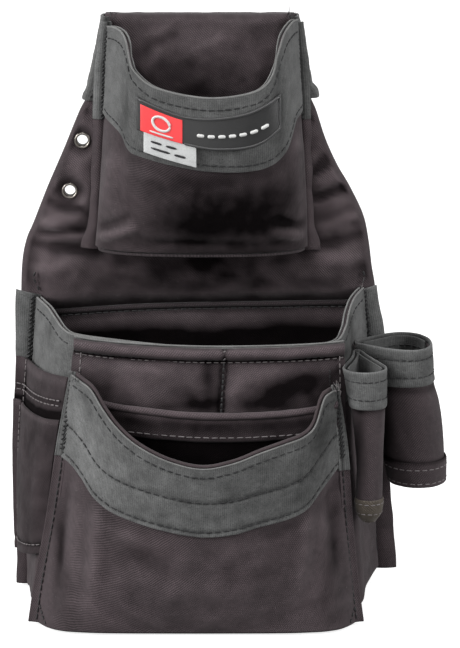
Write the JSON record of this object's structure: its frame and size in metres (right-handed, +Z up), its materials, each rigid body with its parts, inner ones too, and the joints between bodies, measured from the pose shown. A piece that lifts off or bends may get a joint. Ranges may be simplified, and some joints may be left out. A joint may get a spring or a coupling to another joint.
{
  "type": "electrician tool pouch",
  "caption": "Fabric belt pouch with a padded back, stacked tool pockets edged in webbing, side pockets and open tool sleeves.",
  "frame": {"origin": "middle of the belt seat, on the rear face of the padded back panel", "axes": "+Z up along the back panel, -Y out of the front of the pockets, +X to the right seen from the front"},
  "size_m": [0.2505, 0.1068, 0.3395],
  "materials": {
    "ballistic_fabric": "dark basket-weave nylon, matt",
    "foam_padding": "closed-cell foam",
    "grey_webbing": "ribbed woven webbing, matt",
    "binding_tape": "black binding tape",
    "label_rubber": "moulded rubber, satin",
    "label_red": "moulded rubber, satin",
    "label_white": "moulded rubber, satin",
    "tag_cloth": "light woven tag",
    "eyelet_metal": "dull nickel plate"
  },
  "bodies": {
    "back_assembly": {"back_panel_rear_fabric": "ballistic_fabric", "back_panel_foam": "foam_padding", "back_panel_front_fabric": "ballistic_fabric", "back_upper_padding": "ballistic_fabric", "back_lower_fold": "ballistic_fabric", "belt_loop_panel": "ballistic_fabric", "belt_loop_stay": "grey_webbing", "top_fold_binding": "binding_tape", "top_wrap_left": "grey_webbing", "top_wrap_right": "grey_webbing", "eyelet_upper_barrel": "eyelet_metal", "eyelet_upper_washer": "eyelet_metal", "eyelet_lower_barrel": "eyelet_metal", "eyelet_lower_washer": "eyelet_metal", "upper_pocket_flange_left": "ballistic_fabric", "upper_pocket_flange_right": "ballistic_fabric", "upper_pocket_gusset_left": "ballistic_fabric", "upper_pocket_gusset_right": "ballistic_fabric", "upper_pocket_band_left": "grey_webbing", "upper_pocket_band_right": "grey_webbing", "upper_pocket_floor": "ballistic_fabric", "main_pocket_gusset_left": "ballistic_fabric", "main_pocket_gusset_right": "ballistic_fabric", "main_pocket_band_left": "grey_webbing", "main_pocket_band_right": "grey_webbing", "main_side_flange_left": "ballistic_fabric", "main_side_flange_right": "ballistic_fabric", "main_side_tape_left": "grey_webbing", "main_side_tape_right": "grey_webbing", "main_pocket_floor": "ballistic_fabric", "side_pocket_inner": "ballistic_fabric", "side_pocket_outer": "ballistic_fabric", "large_sleeve_seam_web": "ballistic_fabric"},
    "upper_pocket_face": {"upper_pocket_front": "ballistic_fabric", "upper_pocket_band": "grey_webbing", "label_patch": "label_rubber", "label_field": "label_red", "label_emblem": "label_white"},
    "tag_body": {"side_tag": "tag_cloth"},
    "main_pocket_face": {"main_pocket_front": "ballistic_fabric", "main_pocket_rim_band": "grey_webbing", "middle_pocket": "ballistic_fabric", "middle_pocket_hem": "binding_tape", "third_pocket": "ballistic_fabric", "front_pocket_flange_left": "ballistic_fabric", "front_pocket_flange_right": "ballistic_fabric", "front_pocket_floor": "ballistic_fabric"},
    "front_pocket_body": {"front_pocket_face": "ballistic_fabric", "front_pocket_band": "grey_webbing", "front_pocket_rolled_edge": "binding_tape"},
    "large_sleeve": {"large_sleeve_tube": "ballistic_fabric", "large_sleeve_band": "grey_webbing", "large_sleeve_hem": "ballistic_fabric"},
    "small_sleeve": {"small_sleeve_tube": "ballistic_fabric", "small_sleeve_band": "grey_webbing", "small_sleeve_hem": "ballistic_fabric"}
  },
  "joints": [
    {"name": "upper_pocket_gape", "type": "hinge", "parent": "back_assembly", "child": "upper_pocket_face", "pos_m": [0, -0.032, -0.0805], "axis": [1, 0, 0], "range_deg": [0, 8], "stiffness_Nm_per_rad": 0.6},
    {"name": "tag_flip", "type": "hinge", "parent": "upper_pocket_face", "child": "tag_body", "pos_m": [-0.0197, -0.05431, -0.01731], "axis": [-0.9451, 0.2977, 0.1347], "range_deg": [0, 55], "stiffness_Nm_per_rad": 0.001},
    {"name": "main_pocket_gape", "type": "hinge", "parent": "back_assembly", "child": "main_pocket_face", "pos_m": [0, -0.058, -0.282], "axis": [1, 0, 0], "range_deg": [0, 6], "stiffness_Nm_per_rad": 3},
    {"name": "front_pocket_gape", "type": "hinge", "parent": "main_pocket_face", "child": "front_pocket_body", "pos_m": [0, -0.088, -0.2815], "axis": [1, 0, 0], "range_deg": [0, 10], "stiffness_Nm_per_rad": 1},
    {"name": "large_sleeve_swing", "type": "hinge", "parent": "back_assembly", "child": "large_sleeve", "pos_m": [0.105, -0.0195, -0.175], "axis": [0, 0, 1], "range_deg": [0, 20], "stiffness_Nm_per_rad": 0.02},
    {"name": "small_sleeve_swing", "type": "hinge", "parent": "main_pocket_face", "child": "small_sleeve", "pos_m": [0.0845, -0.058, -0.151], "axis": [0, -1, 0], "range_deg": [0, 12], "stiffness_Nm_per_rad": 0.02}
  ]
}
